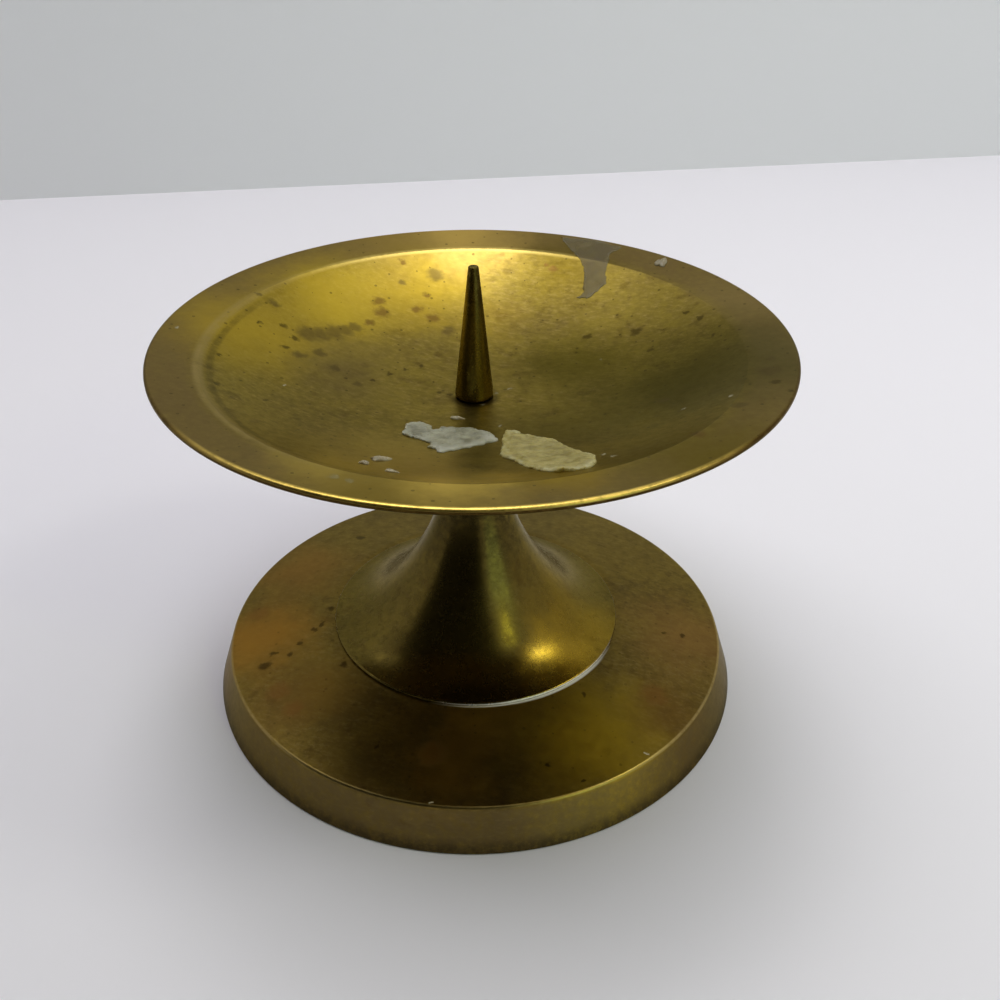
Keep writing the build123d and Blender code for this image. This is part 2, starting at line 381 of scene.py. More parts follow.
    loose = moved(0.16, 10)
    for x, y, reach, over, strength in washes:
        colour = paint(colour, over, product(nearness(loose, x, y, 0, 1.3 * reach), strength))

    for low, high, over, strength in bands:
        rise = {0: height, 1: low, 2: high, 3: 0.0, 4: strength}
        rise = add("ShaderNodeMapRange", rise, interpolation_type="SMOOTHSTEP")
        colour = paint(colour, over, product(rise, patchy))

    ragged = moved(0.7, 2.1)
    covered = 0.0
    for groups, hides in ((stains, False), (dirt, True)):
        for over, strength, places in groups:
            spotted = 0.0
            for x, y, reach in places:
                spot = nearness(ragged, x, y, 0.4 * reach, 1.3 * reach)
                spotted = add("ShaderNodeMath", {0: spotted, 1: spot}, operation="MAXIMUM")
            spotted = product(spotted, level, strength)
            colour = paint(colour, over, spotted)
            if hides:
                covered = add("ShaderNodeMath", {0: covered, 1: spotted}, operation="MAXIMUM")

    # Dark specks 0.1 to 0.2 mm in radius, one for about every second cell of 2 mm
    cells = add("ShaderNodeTexVoronoi", {"Vector": flat, "Scale": 0.5}, voronoi_dimensions="2D")
    chosen = add("ShaderNodeSeparateXYZ", {0: cells.outputs["Color"]})
    size = add("ShaderNodeMapRange", {0: chosen, 1: 0.5, 2: 1.0, 3: 0.0, 4: 0.11})
    speck = add("ShaderNodeMath", {0: cells.outputs["Distance"], 1: size}, operation="LESS_THAN")
    colour = paint(colour, "#2c2110", product(speck, level, 1.4 * wear))

    # Lines along an edge, of wear and of painted highlight and shade, each fading to both sides of its
    # bearing
    for edges, hides in ((worn, False), (seams, True)):
        for edge_radius, edge_height, width, over, strength, bearing, spread in edges:
            edge = {0: profile, 1: [edge_radius, edge_height, 0]}
            away = add("ShaderNodeVectorMath", edge, operation="DISTANCE").outputs["Value"]
            fade = {0: away, 1: 0.4 * width, 2: width, 3: strength, 4: 0.0}
            near = add("ShaderNodeMapRange", fade)
            bearing, spread = math.radians(bearing), math.radians(spread)
            towards = {0: outward, 1: [math.cos(bearing), math.sin(bearing), 0]}
            facing = add("ShaderNodeVectorMath", towards, operation="DOT_PRODUCT").outputs["Value"]
            fade = {0: facing, 1: math.cos(spread), 2: math.cos(0.4 * spread), 3: 0.0, 4: 1.0}
            side = add("ShaderNodeMapRange", fade)
            shown = product(near, side) if hides else product(near, side, patchy)
            colour = paint(colour, over, shown)
            if hides:
                covered = add("ShaderNodeMath", {0: covered, 1: shown}, operation="MAXIMUM")

    # Faces that look down take the under colour: painted shade
    if under:
        below = add("ShaderNodeMapRange", {0: tilt, 1: -0.3, 2: 0.1, 3: 0.9, 4: 0.0})
        colour = paint(colour, under, below)

    # Turning marks about 0.3 mm apart, drawn coarser than they are so that they show, and pits a
    # quarter of a millimetre across. Pale and dark mottling shines a little less and more.
    lathe_marks = {"Vector": profile, "Scale": 3.3, "Detail": 3.0}
    marks = add("ShaderNodeTexNoise", lathe_marks, noise_dimensions="2D")
    grain = add("ShaderNodeTexNoise", {"Vector": position, "Scale": 4.0, "Detail": 1.5})
    depth = add("ShaderNodeMath", {0: marks, 1: 0.6, 2: grain}, operation="MULTIPLY_ADD")
    bump = add("ShaderNodeBump", {"Strength": relief, "Distance": 0.02 * mm, "Height": depth})
    satin = {0: mottle, 1: 0.3, 2: 0.7, 3: roughness - 0.05, 4: roughness + 0.05}
    rough = add("ShaderNodeMapRange", satin)
    bare = add("ShaderNodeMath", {0: 1.0, 1: covered}, operation="SUBTRACT")
    surface = {"Base Color": colour, "Metallic": bare, "Roughness": rough, "Normal": bump}
    # Tarnish takes a little of the blue out of reflections at a low angle too
    surface["Specular Tint"] = linear("#e7e1cb")
    add("ShaderNodeOutputMaterial", {"Surface": add("ShaderNodeBsdfPrincipled", surface)})
    return finish.material


def zinc_plate():
    """Zinc plate on turned steel, dulled by damp: pale grey metal with faint crystals 0.6 mm across,
    which break its highlight up into small flat patches."""
    finish = Finish("zinc_plated_steel")
    add = finish.add
    position = add("ShaderNodeTexCoord").outputs["Object"]
    crystals = add("ShaderNodeTexVoronoi", {"Vector": position, "Scale": 1 / (0.6 * mm)})
    rough = add("ShaderNodeMapRange", {0: crystals, 1: 0.0, 2: 1.0, 3: 0.32, 4: 0.5})
    clouds = add("ShaderNodeTexNoise", {"Vector": position, "Scale": 1 / (3 * mm), "Detail": 4.0})
    mixed = {0: clouds, MIX_A: linear("#a9aaa6"), MIX_B: linear("#84827a")}
    colour = add("ShaderNodeMix", mixed, data_type="RGBA").outputs[MIX_COLOUR]
    surface = add("ShaderNodeBsdfPrincipled", {"Base Color": colour, "Metallic": 1.0, "Roughness": rough})
    add("ShaderNodeOutputMaterial", {"Surface": surface})
    return finish.material


def candle_wax(name, thick, thin, clear=0.0, dirty=0.6, relief=0.4, pale="#c8c8b8", edged=0.5):
    """Old candle wax that ran, set and was broken off: soft, slightly see-through and dully glossy.

    thick and thin are its hex colours where it is whole and where it is worn through, in clouds of
    2 mm. pale is the colour of its broken edge, where the mesh's attribute "edge" is above 0, and
    edged how much of that shows. dirty is the strength of dark flecks up to 0.15 mm in radius, relief
    that of its dents of a millimetre, and clear the share of light that passes straight through."""
    finish = Finish(name)
    add = finish.add
    position = add("ShaderNodeTexCoord").outputs["Object"]
    clouds = {"Vector": position, "Scale": 1 / (2.0 * mm), "Detail": 6.0, "Roughness": 0.7}
    clouds = add("ShaderNodeTexNoise", clouds)
    amount = add("ShaderNodeMapRange", {0: clouds, 1: 0.36, 2: 0.62, 3: 0.0, 4: 1.0})
    mixed = {0: amount, MIX_A: linear(thick), MIX_B: linear(thin)}
    colour = add("ShaderNodeMix", mixed, data_type="RGBA").outputs[MIX_COLOUR]
    edge = add("ShaderNodeAttribute", attribute_name="edge").outputs["Fac"]
    broken = add("ShaderNodeMapRange", {0: clouds, 1: 0.42, 2: 0.56, 3: 0.0, 4: edged})
    edge = add("ShaderNodeMath", {0: edge, 1: broken}, operation="MULTIPLY")
    mixed = {0: edge, MIX_A: colour, MIX_B: linear(pale)}
    colour = add("ShaderNodeMix", mixed, data_type="RGBA").outputs[MIX_COLOUR]
    flecks = add("ShaderNodeTexVoronoi", {"Vector": position, "Scale": 1 / (0.9 * mm)})
    chosen = add("ShaderNodeSeparateXYZ", {0: flecks.outputs["Color"]})
    size = add("ShaderNodeMapRange", {0: chosen, 1: 0.6, 2: 1.0, 3: 0.0, 4: 0.16})
    fleck = add("ShaderNodeMath", {0: flecks.outputs["Distance"], 1: size}, operation="LESS_THAN")
    fleck = add("ShaderNodeMath", {0: fleck, 1: dirty}, operation="MULTIPLY")
    mixed = {0: fleck, MIX_A: colour, MIX_B: linear("#4a3c22")}
    colour = add("ShaderNodeMix", mixed, data_type="RGBA").outputs[MIX_COLOUR]
    dents = {"Vector": position, "Scale": 1 / (1.0 * mm), "Detail": 3.0, "Roughness": 0.5}
    grain = add("ShaderNodeTexNoise", dents)
    bump = add("ShaderNodeBump", {"Strength": relief, "Distance": 0.2 * mm, "Height": grain})
    # Light spreads up to a millimetre inside the wax, and red light furthest
    surface = add(
        "ShaderNodeBsdfPrincipled",
        {
            "Base Color": colour,
            "Roughness": 0.38,
            "IOR": 1.44,
            "Subsurface Weight": 0.5,
            "Subsurface Radius": [0.6, 0.5, 0.35],
            "Subsurface Scale": 1.5 * mm,
            "Alpha": 1.0 - clear,
            "Normal": bump,
        },
    )
    add("ShaderNodeOutputMaterial", {"Surface": surface})
    return finish.material


# Drip dish, spun from sheet
well_arc = arc((landing_radius, dish_floor), (well_radius, well_top), (1, 0), 44)
under_arc = arc((landing_radius, stem_top), (well_radius, well_top - sheet_thickness), (1, 0), 36)


def dish_surface_height(radii):
    """Height of the dish's upper face at some radii: its landing, well arc and rim, run through."""
    ridge = outline(
        line((0, dish_floor), (landing_radius, dish_floor)),
        well_arc,
        line((well_radius, well_top), (dish_radius, rim_top)),
    )
    return np.interp(radii, ridge[:, 0], ridge[:, 1])


def make_dish():
    """Dish: landing, well, crease, rim and lip, then back along the underside to the bore."""
    lip_top, lip_bottom = (dish_radius, rim_top), (dish_radius, rim_top - sheet_thickness)
    crease, under_crease = (well_radius, well_top), (well_radius, well_top - sheet_thickness)
    points = outline(
        line((dish_bore, dish_floor), (landing_radius, dish_floor), 3),
        well_arc,
        line(crease, lip_top, 8),
        line(lip_top, lip_bottom),
        line(lip_bottom, under_crease, 8),
        under_arc[::-1],
        line((landing_radius, stem_top), (dish_bore, stem_top), 3),
    )
    points = rounded(points, crease, crease_rounding)
    points = rounded(points, under_crease, crease_rounding)
    points = rounded(points, lip_top, lip_rounding)
    points = rounded(points, lip_bottom, lip_rounding)
    surface = revolve(points[::-1], broad_turns, True)
    return mesh_piece("spun_dish", *surface, "dish_brass", ["drip_dish"])


def make_stem():
    """Stem: foot edge, flare of two arcs, neck, small flare up to the collar, closed on the axis."""
    neck = (neck_radius, neck_height)
    foot = (stem_foot_radius, seat_height + foot_edge)
    knee = (
        neck_radius + knee_out_share * (stem_foot_radius - neck_radius),
        neck_height - knee_down_share * (neck_height - foot[1]),
    )
    collar = (collar_radius, stem_top - collar_edge)
    flare = arc(neck, knee, (0, -1), 48)
    fan = arc(knee, foot, flare[-1] - flare[-2], 24)
    relief = (stem_foot_radius - foot_land, seat_height + relief_depth)
    points = outline(
        line((0, seat_height + relief_depth), relief, 4),
        line(relief, (relief[0], seat_height)),
        line((relief[0], seat_height), (stem_foot_radius, seat_height), 3),
        line((stem_foot_radius, seat_height), foot),
        fan[::-1],
        flare[::-1],
        arc(neck, collar, (0, 1), 20),
        line(collar, (collar_radius, stem_top)),
        line((collar_radius, stem_top), (0, stem_top), 3),
    )
    points = rounded(points, (stem_foot_radius, seat_height), stem_edge_rounding)
    points = rounded(points, foot, stem_foot_rounding)
    points = rounded(points, (collar_radius, stem_top), stem_edge_rounding)
    surface = revolve(points, stem_turns, False)
    return mesh_piece("turned_stem", *surface, "stem_brass", ["stem"])


def make_base():
    """Base: spigot, flat seat, conical top, skirt, foot ring and the hollow underneath."""
    top_edge = (skirt_top_radius, skirt_height)
    foot = (base_radius, 0)
    inner_foot = (base_radius - base_wall, 0)
    floor = seat_height - base_floor
    points = outline(
        line((base_bore, floor), (base_bore, spigot_top)),
        line((base_bore, spigot_top), (spigot_radius, spigot_top), 2),
        line((spigot_radius, spigot_top), (spigot_radius, seat_height)),
        line((spigot_radius, seat_height), (seat_radius, seat_height), 4),
        line((seat_radius, seat_height), top_edge, 12),
        line(top_edge, foot, 6),
        line(foot, inner_foot, 2),
        line(inner_foot, (skirt_top_radius - base_wall, skirt_height - base_wall), 4),
        line((skirt_top_radius - base_wall, skirt_height - base_wall), (seat_radius, floor), 8),
        line((seat_radius, floor), (base_bore, floor), 6),
    )
    points = rounded(points[:-1], top_edge, edge_rounding)
    points = rounded(points, foot, foot_rounding)
    points = rounded(points, inner_foot, foot_rounding)
    surface = revolve(points[::-1], broad_turns, True)
    return mesh_piece("turned_base", *surface, "base_brass", ["base"])


def make_pricket():
    """Pricket: threaded shank below, then a rounded foot and a taper up to a small blunt tip."""
    foot = (pricket_foot_radius + taper_overrun, dish_floor)
    points = outline(
        line((0, shank_bottom), (shank_radius, shank_bottom), 2),
        line((shank_radius, shank_bottom), (shank_radius, dish_floor), 6),
        line((shank_radius, dish_floor), foot, 2),
        line(foot, (tip_radius, pricket_top), 24),
        line((tip_radius, pricket_top), (0, pricket_top), 2),
    )
    points = rounded(points, foot, pricket_foot_rounding)
    points = rounded(points, (tip_radius, pricket_top), tip_rounding)
    surface = revolve(points, pricket_turns, False)
    return mesh_piece("turned_pricket", *surface, "pricket_brass", ["pricket"])


# Scraps of wax. Their left and right edges are outlines in the plan, in millimetres from the axis.
pale_left = [
    (-8.4, -9.9), (-8.6, -11.5), (-7.9, -12.4), (-6.3, -13.0), (-5.2, -14.0), (-5.4, -15.7),
    (-4.8, -15.9), (-4.0, -17.2),
]
pale_right = [
    (-8.3, -8.5), (-6.4, -8.0), (-5.4, -8.6), (-4.8, -10.4), (-3.7, -9.1), (-0.8, -9.1),
    (1.7, -10.3), (2.8, -13.0),
]
yellow_left = [
    (3.6, -10.2), (3.4, -12.5), (3.0, -15.9), (3.0, -18.4), (4.3, -20.5), (5.5, -23.8),
    (6.8, -26.0), (8.5, -27.9), (10.2, -28.6),
]
yellow_right = [
    (5.4, -10.7), (5.3, -11.7), (7.2, -12.9), (9.2, -14.3), (10.2, -16.4), (11.7, -19.4),
    (13.1, -22.4), (13.0, -25.4), (12.2, -28.2),
]
film_left = [
    (13.2, 36.2), (14.4, 32.0), (15.7, 29.1), (16.0, 27.7), (16.0, 25.1), (15.8, 22.7), (14.7, 22.0),
]
film_right = [
    (18.6, 34.2), (21.6, 31.9), (22.1, 31.4), (20.2, 30.1), (19.4, 26.5), (18.9, 23.3), (16.3, 21.4),
]

# Waves of the ripple: direction, share of its length and phase
ripple_waves = [(0.3, 1.0, 0.4), (1.7, 0.61, 2.1), (2.6, 0.37, 4.0), (0.9, 0.23, 5.3)]
ripple_peak = 2.1


def ripple(x, y, length):
    """Smooth unevenness between -1 and 1: sines along several directions, added up.

    The second counts half as much as the first, the third a third and the fourth a quarter, and the
    sum is divided by the most that it can reach."""
    total = 0
    for k, (turn, stretch, phase) in enumerate(ripple_waves):
        along = x * math.cos(turn) + y * math.sin(turn)
        total = total + np.sin(2 * math.pi * along / (length * stretch) + phase) / (k + 1)
    return total / ripple_peak


def drape(name, left, right, thickness, slot, node, along=96, across=36):
    """Scrap of wax that lies on the dish.

    A point (u, v) of the plan lies v of the way from the left edge to the right edge, u of the way
    along both, and is moved by up to 0.22 mm by short ripples that make the edges jagged. The wax is
    as thick there as its full thickness times a dome, times 0.7 plus ripples of 3.1 and 1.1 mm. The
    dome is flat in the middle and steep at the edges: (1 - |2v - 1|^7)^0.4 (1 - |2u - 1|^18)^0.4. Its
    underside follows the dish. The attribute "edge" is 1 at the border and 0 a little way in."""
    left, right = np.array(left, float), np.array(right, float)

    def sampled(edge):
        """Points at equal distances along an edge."""
        steps = np.concatenate([[0], np.cumsum(np.linalg.norm(np.diff(edge, axis=0), axis=1))])
        share = np.linspace(0, steps[-1], along)
        return np.stack([np.interp(share, steps, edge[:, k]) for k in (0, 1)], axis=1)

    u = np.linspace(0, 1, along)[:, None]
    v = 0.5 - 0.5 * np.cos(np.linspace(0, math.pi, across))[None, :]
    plan = sampled(left)[:, None] * (1 - v[..., None]) + sampled(right)[:, None] * v[..., None]
    across_plan, along_plan = plan[..., 0], plan[..., 1]
    jagged = [ripple(across_plan, along_plan, 1.9), ripple(along_plan, across_plan, 1.3)]
    plan = plan + 0.22 * np.stack(jagged, axis=2)
    x, y = plan[..., 0], plan[..., 1]
    seat = dish_surface_height(np.hypot(x, y))
    dome = (1 - np.abs(2 * v - 1) ** 7) ** 0.4 * (1 - np.abs(2 * u - 1) ** 18) ** 0.4
    uneven = 0.7 + 0.18 * ripple(x, y, 3.1) + 0.12 * ripple(x, y, 1.1)
    depth = thickness * dome * uneven + thinnest_wax
    top = np.stack([x, y, seat + depth], axis=2).reshape(-1, 3)
    under = np.stack([x, y, seat - wax_bedding], axis=2).reshape(-1, 3)
    cell = (np.arange(along - 1)[:, None] * across + np.arange(across - 1)[None, :]).reshape(-1)
    sheet = np.stack([cell, cell + across, cell + across + 1, cell + 1], axis=1)
    count = along * across
    border = np.concatenate(
        [
            np.arange(across),
            across * np.arange(1, along) + across - 1,
            count - 2 - np.arange(across - 1),
            across * np.arange(along - 2, 0, -1),
        ]
    )
    following = np.roll(border, -1)
    wall = np.stack([border, following, following + count, border + count], axis=1)
    faces = np.concatenate([sheet, sheet[:, ::-1] + count, wall])
    turned_up = np.cross(plan[1, 0] - plan[0, 0], plan[0, 1] - plan[0, 0]) > 0
    faces = faces if turned_up else faces[:, ::-1]
    piece = mesh_piece(name, np.concatenate([top, under]), faces.tolist(), slot, [node])
    rim = 1 - np.clip((0.5 - np.abs(v - 0.5)) * (0.5 - np.abs(u - 0.5)) * 30, 0, 1)
    edge = piece.data.attributes.new("edge", "FLOAT", "POINT")
    edge.data.foreach_set("value", np.concatenate([rim.reshape(-1)] * 2))
    return piece


# Crumbs: x, y, length, width, height and turn
crumbs = [
    (-10.4, -21.6, 2.2, 1.5, 0.4, 0.4),
    (-11.8, -24.4, 1.1, 1.0, 0.35, 0.9),
    (-8.8, -27.0, 1.5, 0.8, 0.3, 2.7),
    (-2.2, -6.3, 1.8, 0.6, 0.3, 3.0),
    (27.1, 25.6, 2.3, 1.7, 0.4, 1.0),
]


def make_crumbs():
    """Crumbs: flattened balls, each radius moved in or out by sines of its direction, half sunk.

    At latitude b and longitude a a point lies at (cos b cos a, cos b sin a, sin b), times the crumb's
    half length, half width and height, times 1 plus the unevenness: sines of three, four and five
    waves round the crumb, whose phase comes from its place. Its height starts at the dish's own."""
    vertices, faces = [], []
    rows, turns = 9, 14
    latitude = np.linspace(-0.25, math.pi / 2, rows)[:, None]
    longitude = np.arange(turns)[None, :] * 2 * math.pi / turns
    for x, y, length, width, height, turn in crumbs:
        uneven = 0.22 * np.sin(3 * longitude + x)
        uneven = 1 + uneven + 0.16 * np.sin(5 * longitude + 2 * y) * np.cos(latitude)
        along = np.cos(latitude) * np.cos(longitude) * uneven * length / 2
        across = np.cos(latitude) * np.sin(longitude) * uneven * width / 2
        px = x + along * math.cos(turn) - across * math.sin(turn)
        py = y + along * math.sin(turn) + across * math.cos(turn)
        up = np.sin(latitude) * height * (1 + 0.15 * np.sin(4 * longitude + x))
        pz = dish_surface_height(np.hypot(px, py)) + up
        start = sum(len(v) for v in vertices)
        vertices.append(np.stack([px, py, pz], axis=2).reshape(-1, 3))
        grid = np.arange(rows * turns).reshape(rows, turns) + start
        beside = np.roll(grid, -1, axis=1)
        sides = np.stack([grid[:-1], beside[:-1], beside[1:], grid[1:]], axis=2).reshape(-1, 4)
        faces += sides.tolist() + [grid[0, ::-1].tolist()] + [grid[-1].tolist()]
    return mesh_piece("wax_crumb_scatter", np.concatenate(vertices), faces, "crumb_wax", ["wax_crumbs"])


# Marks on the brass, and painted light: washes, stains, dirt, worn edges and seams, in the forms that
# aged_brass takes

dish_rings = [(well_radius, dish_radius + 1, "#735f3a", 0.85)]
dish_tarnish_and_reflections = [
    # Rim: uneven tarnish under painted reflection, bright at the back, gold in front and dark at the
    # right
    (-2, 38, 12, "#c4a454", 0.85), (-14, 36, 9, "#957c3c", 0.7), (-9, -36, 11, "#8a7428", 0.75),
    (38, -6, 13, "#5e5434", 0.7), (36, 12, 8, "#8a7648", 0.5), (25, -30, 12, "#62520a", 0.8),
    # Back of the well: painted reflection, gold at the left, a faint painted highlight in the middle and
    # painted shade at the right
    (-30, 7, 11, "#b4982c", 0.7), (-20, 20, 11, "#bca02c", 0.7), (-8, 25, 9, "#a08624", 0.7),
    (13, 28, 9, "#5c4c10", 0.7), (2, 20, 6, "#b8982c", 0.2),
    # Left and front of the well: grey brown tarnish, and a painted pale gold reflection in front
    (-17, 5, 9, "#6c5c34", 0.6), (-8, -21, 10, "#ae964c", 0.75), (-14, -28, 7, "#d0b450", 0.5),
    (-1, -31, 8, "#e4c45c", 0.8), (8, -31, 7, "#a08420", 0.7),
    # Right half of the well: mild olive tarnish darkened by a painted dark olive reflection
    (25, -5, 17, "#38320a", 0.85), (13, 7, 9, "#463e0c", 0.7), (9, -12, 10, "#483e0c", 0.6),
]
dish_edge_dirt_shade_and_highlights = [
    # Lip: brown, with painted shade below it in front and a painted gold highlight along its very front
    (dish_radius, rim_top - 0.3, 0.5, "#4c3418", 0.75, -90, 180),
    (dish_radius, rim_top - 0.8, 0.75, "#241402", 0.95, -90, 120),
    (dish_radius - 0.2, rim_top + 0.05, 0.5, "#ffdc70", 0.9, -94, 52),
    # Crease: painted highlights, bright at the back and pale at the left, with a painted shadow line 1.3
    # mm inside it
    (well_radius, well_top, 0.7, "#f4d87c", 0.4, 100, 45),
    (well_radius, well_top, 0.9, "#a8935e", 0.5, 195, 62),
    (well_radius - 1.3, well_top - 0.66, 0.6, "#42361a", 0.45, 195, 55),
    # Dark dirt round the foot of the spike
    (2.5, dish_floor, 1.0, "#33260f", 0.7, -90, 180),
]
# Brown and grey brown stains of one to three millimetres, then small dark spots
dish_stains = [
    (
        "#5f4420", 0.7,
        [
            (-13.5, 21.8, 1.0), (-12.9, 19.6, 1.1), (-14.4, 16.8, 0.8), (-10.4, 30.1, 0.6),
            (-6.7, 24.3, 0.6), (-8.1, 21.3, 0.8), (-5.8, 19.6, 1.1), (11.8, 28.6, 0.7),
            (11.0, 29.5, 0.4), (23.8, -23.6, 1.0),
        ],
    ),
    (
        "#4c3e24", 0.6,
        [
            (-5.6, 28.4, 1.3), (-10.5, 26.3, 0.6), (-3.6, 16.9, 1.1), (-22.2, 11.4, 1.6),
            (-18.9, 13.0, 1.6), (-20.6, 12.0, 1.5), (-17.6, 14.2, 1.4), (-16.4, 15.3, 1.1),
            (-22.7, 5.7, 0.9), (-20.3, 7.4, 0.9), (-18.2, 4.5, 0.9), (-15.0, 1.4, 0.8),
            (34.7, -9.4, 1.5), (35.7, -6.0, 0.7), (22.7, -8.0, 0.8), (-27.1, 15.5, 0.8),
            (29.5, -17.4, 0.9),
        ],
    ),
    (
        "#33260f", 0.7,
        [
            (-25.4, 11.3, 0.5), (-23.6, 9.4, 0.6), (-24.7, 6.8, 0.6), (-29.3, 16.1, 0.4),
            (-28.4, 10.0, 0.4), (-16.5, 2.5, 0.4), (-13.3, 3.1, 0.4), (-11.2, 5.2, 0.4),
            (-9.2, 6.9, 0.4), (-7.2, 7.9, 0.4), (-24.7, -9.0, 0.4), (-30.0, -9.1, 0.4),
            (-31.4, -1.3, 0.3), (-5.5, 3.8, 0.3), (-4.4, 1.0, 0.4), (-3.2, 0.2, 0.5),
            (21.9, 11.7, 0.9), (15.7, 13.2, 0.6), (28.6, 12.0, 0.4), (30.0, 9.5, 0.5),
            (30.8, 4.5, 0.4), (23.2, 6.5, 0.5), (34.8, -12.4, 0.6), (35.8, -15.4, 0.5),
        ],
    ),
]
# Pale specks of old wax and dust, which hide the brass
dish_dirt = [
    (
        "#8f8a70", 0.8,
        [
            (-23.5, -3.2, 0.25), (-37.4, 3.5, 0.25), (29.3, -14.0, 0.3), (24.4, -12.8, 0.25),
            (4.4, 1.7, 0.25), (2.9, 0.6, 0.25), (3.2, -8.3, 0.25), (14.1, -22.3, 0.4),
            (14.9, -24.0, 0.4), (1.0, -2.6, 0.3),
        ],
    ),
    ("#6f6c45", 0.5, [(-14.1, -32.3, 0.6), (-12.4, -33.1, 0.5), (16.7, 7.0, 0.3)]),
]

# Darker from 14 mm up to 30 mm. Painted gold glow at the foot's right, painted shade at the left of the
# neck, and a painted white highlight along the edge of the foot
stem_bands = [(14, 30, "#2e2714", 0.85)]
stem_painted_glow_and_shade = [(15, -8, 9, "#a4841f", 0.5), (12, -14, 6, "#c8a430", 0.7), (-4, -1, 4, "#332a14", 0.7)]
stem_painted_foot_highlight = [(stem_foot_radius, seat_height + 0.15, 0.24, "#fffaf0", 0.95, -62, 44)]

base_washes = [
    # Orange brown at the left, gold in front at the right and in the middle
    (-31, -4, 9, "#9a6f2a", 0.85), (-27, 12, 9, "#8a642e", 0.65), (14, -25, 11, "#ccac2c", 0.75),
    (0, -22, 6, "#d0a840", 0.75), (-3, -29, 6, "#b08a34", 0.7), (-14, -28, 5, "#4a3c18", 0.5),
    (-20, -15, 7, "#846728", 0.6),
    # Reddish brown in places
    (30, -5, 10, "#8a6636", 0.55), (-25, -17, 8, "#664a24", 0.5), (25, -20, 7, "#6e4e20", 0.5),
]
# Skirt: greyer than the top, and dark towards the table
base_bands = [(6.0, 5.4, "#6e5e3d", 0.6), (2.4, 0.3, "#352c1c", 0.75)]
# Top edge of the skirt, rubbed pale at both sides of the front
base_worn = [
    (skirt_top_radius, skirt_height, 0.3, "#a8945c", 0.6, -140, 70),
    (skirt_top_radius, skirt_height, 0.3, "#b8a468", 0.6, -25, 60),
]
# Painted white highlight where the stem stands on the base, laid on as a film that hides the metal
base_painted_foot_highlight = [
    (stem_foot_radius + 0.1, seat_height, 0.2, "#fffaf0", 0.9, -66, 42),
    (stem_foot_radius + 0.15, seat_height, 0.32, "#fffaf0", 0.9, -55, 24),
]
base_dirt = [("#d8cda8", 0.8, [(-5.8, -34.1, 0.2), (21.4, -26.5, 0.2)])]
# Small dark spots, reddish patches and one pale round mark in front
base_stains = [
    (
        "#33260f", 0.75,
        [
            (-20.8, 0.4, 0.6), (-22.0, -2.8, 0.5), (-23.0, -3.8, 0.5), (-24.7, -6.2, 0.5),
            (-25.8, -8.2, 0.6), (-29.1, -9.9, 0.9), (-28.3, -7.5, 0.6), (-18.0, -11.6, 0.6),
            (-18.4, 20.4, 0.7), (-12.6, -25.7, 0.3), (8.9, -29.0, 0.4), (12.9, -31.2, 0.3),
            (29.4, -4.5, 0.4), (26.9, -4.5, 0.3), (13.9, -18.0, 0.4),
        ],
    ),
    (
        "#7a4e26", 0.35,
        [(23.6, -16.9, 2.0), (-32.0, 2.0, 1.6), (-26.5, -15.0, 1.8), (-24.0, -18.5, 1.4)],
    ),
    ("#d8b870", 0.3, [(-5.7, -27.3, 1.9)]),
    ("#a27a34", 0.8, [(-5.7, -27.3, 1.7)]),
]

# Dark in its top 9 mm: painted shade that dims the tip's reflection
pricket_tip_painted_shade = [(pricket_top - 9, pricket_top, "#3a3012", 0.85)]


# Floor, backdrop and lights

def add_stage():
    """Pale floor, a pale grey backdrop behind it and a dark card in front, out of the camera's sight.

    The card stands in for the dim side of a room: the stem and the front of the base mirror it."""

    def board(name, corners, colour, roughness):
        """Flat board with four corners in metres, plain painted."""
        finish = Finish(name)
        paint = {"Base Color": linear(colour), "Roughness": roughness}
        surface = finish.add("ShaderNodeBsdfPrincipled", paint)
        finish.add("ShaderNodeOutputMaterial", {"Surface": surface})
        mesh = bpy.data.meshes.new(name)
        mesh.from_pydata(corners, [], [[0, 1, 2, 3]])
        piece = bpy.data.objects.new(name, mesh)
        piece.data.materials.append(finish.material)
        bpy.context.scene.collection.objects.link(piece)
        return piece

    board("floor", [(-2, -2, 0), (2, -2, 0), (2, 2, 0), (-2, 2, 0)], "#f2eff5", 0.6)
    left, right, top = (-1.0, 0.093), (1.0, 0.389), 0.45
    board("backdrop", [(*left, 0), (*right, 0), (*right, top), (*left, top)], "#ebecee", 0.8)
    card_corners = [(-0.34, -0.13, 0.01), (0.05, -0.32, 0.01), (0.20, -0.26, 0.50), (-0.35, 0.09, 0.50)]
    card = board("front_card", card_corners, "#1c1a18", 0.9)
    card.visible_camera = False


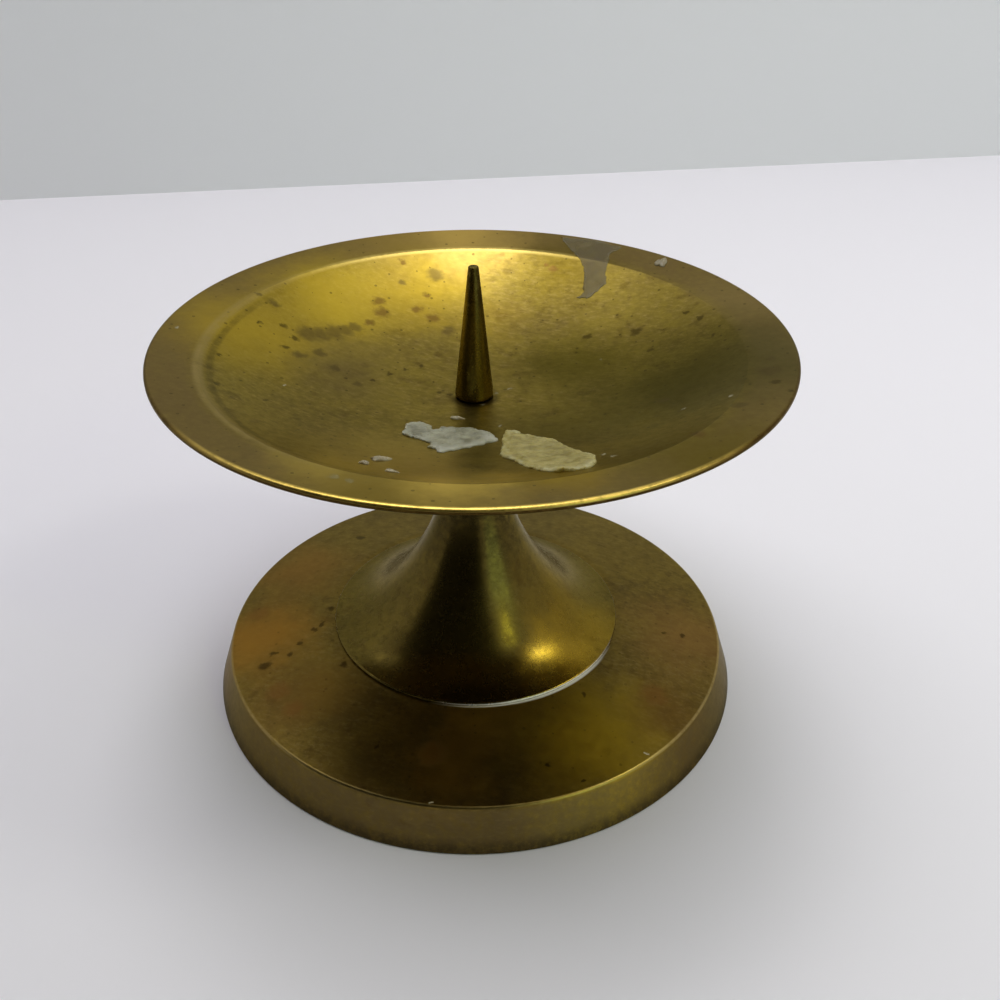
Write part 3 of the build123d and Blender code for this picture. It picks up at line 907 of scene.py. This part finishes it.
def add_lights():
    """Even pale surround and five soft panels, each named for where it stands or what it does.

    The ceiling lights the table from the left. The overhead panel makes the glow at the back of the
    well, the right one the gold spot on the stem's foot, the streak panel the thin bright line above
    it and the window the green band on the neck."""
    world = bpy.data.worlds.new("surround")
    bpy.context.scene.world = world
    world.use_nodes = True
    background = world.node_tree.nodes["Background"]
    background.inputs["Color"].default_value = linear("#f1eff5")
    background.inputs["Strength"].default_value = 0.575

    def panel(name, place, aim, width, height, radiance, colour="#ffffff"):
        """Area light that faces a point, with the power that gives its face this radiance."""
        data = bpy.data.lights.new(name, "AREA")
        data.color = linear(colour)[:3]
        data.shape = "RECTANGLE"
        data.size, data.size_y = width, height
        data.energy = radiance * math.pi * width * height
        light = bpy.data.objects.new(name, data)
        light.location = place
        light.rotation_euler = (Vector(place) - Vector(aim)).to_track_quat("Z", "Y").to_euler()
        bpy.context.scene.collection.objects.link(light)

    middle = (0, 0, 0.04)
    panel("ceiling_panel", (-0.26, 0.02, 0.95), (-0.26, 0.02, 0), 0.9, 0.8, 2.15)
    panel("overhead_panel", (-0.02, 0.23, 0.56), middle, 0.19, 0.18, 4.2)
    panel("right_panel", (0.385, -0.045, 0.53), middle, 0.13, 0.11, 8.2, "#fbfff0")
    panel("streak_panel", (0.30, -0.33, 0.38), middle, 0.02, 0.11, 17.0, "#f0ff84")
    panel("window_panel", (0.31, -0.37, 0.13), middle, 0.26, 0.26, 0.9, "#ccffd8")
    bpy.context.scene.view_settings.view_transform = "Standard"


add_camera()
add_stage()
add_lights()

dish = make_dish()
stem = make_stem()
base = make_base()
pricket = make_pricket()
pale_flake = drape("pale_flake", pale_left, pale_right, pale_thickness, "pale_wax", "wax_flake_pale")
yellow_flake = drape(
    "yellow_flake", yellow_left, yellow_right, yellow_thickness, "yellow_wax", "wax_flake_yellow"
)
film = drape("film_smear", film_left, film_right, film_thickness, "grey_wax", "wax_film")
crumb_scatter = make_crumbs()

# Brass sheet spun over a form: the roller leaves it satin, so its highlights are broad and soft. Old
# tarnish gives it clouds of olive and brown and dark spots. Painted reflection makes its rim bright at
# the back and dull at the right, and its well gold at the left and front and dark olive at the right.
spun_brass = aged_brass(
    "spun_aged_brass", "#87752f", "#68582a",
    # Darker on faces that look down: painted shade
    under="#4a3a18",
    rings=dish_rings,
    washes=dish_tarnish_and_reflections,
    stains=dish_stains,
    dirt=dish_dirt,
    worn=dish_edge_dirt_shade_and_highlights,
    roughness=0.35,
    wear=0.36,
)
dish.data.materials.append(spun_brass)

# Brass turned from bar and polished: the smoothest of the four, it mirrors the room in soft upright
# bands, dark where it faces the dim side. Painted shade darkens the left of its neck, and painted
# highlights give its foot a gold glow and a white line along its edge.
polished_brass = aged_brass(
    "turned_polished_brass", "#6e5e28", "#554822",
    bands=stem_bands,
    washes=stem_painted_glow_and_shade,
    seams=stem_painted_foot_highlight,
    roughness=0.26,
    relief=0.04,
    wear=0.1,
)
stem.data.materials.append(polished_brass)

# Cast brass turned all over and never cleaned: deep tarnish makes it brown with patches of orange, and
# its skirt is greyer and darker towards the table.
tarnished_brass = aged_brass(
    "turned_tarnished_brass", "#78642c", "#594924",
    bands=base_bands,
    washes=base_washes,
    stains=base_stains,
    dirt=base_dirt,
    worn=base_worn,
    seams=base_painted_foot_highlight,
    roughness=0.34,
)
base.data.materials.append(tarnished_brass)

# Brass turned to a point and soaked with wax from many candles: dark, with narrow highlights along it,
# and darker still at its tip with painted shade.
waxed_brass = aged_brass(
    "waxed_dark_brass", "#8c7c38", "#5e5222",
    bands=pricket_tip_painted_shade,
    roughness=0.28,
    wear=0.08,
)
pricket.data.materials.append(waxed_brass)

# Candle wax that ran and set: light comes back from inside it, so its shadows are weak and its broken
# edges pale. The pale flake is bluish, the thicker one yellow, and brass shows through the thin film.
pale_wax = candle_wax("bluish_candle_wax", "#9a9982", "#6e6c57")
yellow_wax = candle_wax(
    "yellowed_candle_wax", "#a89c5c", "#7c7030", dirty=0.2, relief=0.6, pale="#d8d4a4"
)
film_wax = candle_wax("smeared_wax_film", "#766838", "#5e512a", clear=0.45, dirty=0.2, edged=0.15)
crumb_wax = candle_wax("crumbled_candle_wax", "#9c9478", "#7c7054", dirty=0.2)
pale_flake.data.materials.append(pale_wax)
yellow_flake.data.materials.append(yellow_wax)
film.data.materials.append(film_wax)
crumb_scatter.data.materials.append(crumb_wax)

# The screw and both washers keep their CAD meshes
steel = zinc_plate()
for name in ("base_screw", "base_washer", "spring_washer"):
    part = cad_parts[name]
    part.data.materials.clear()
    part.data.materials.append(steel)

bpy.context.view_layer.update()
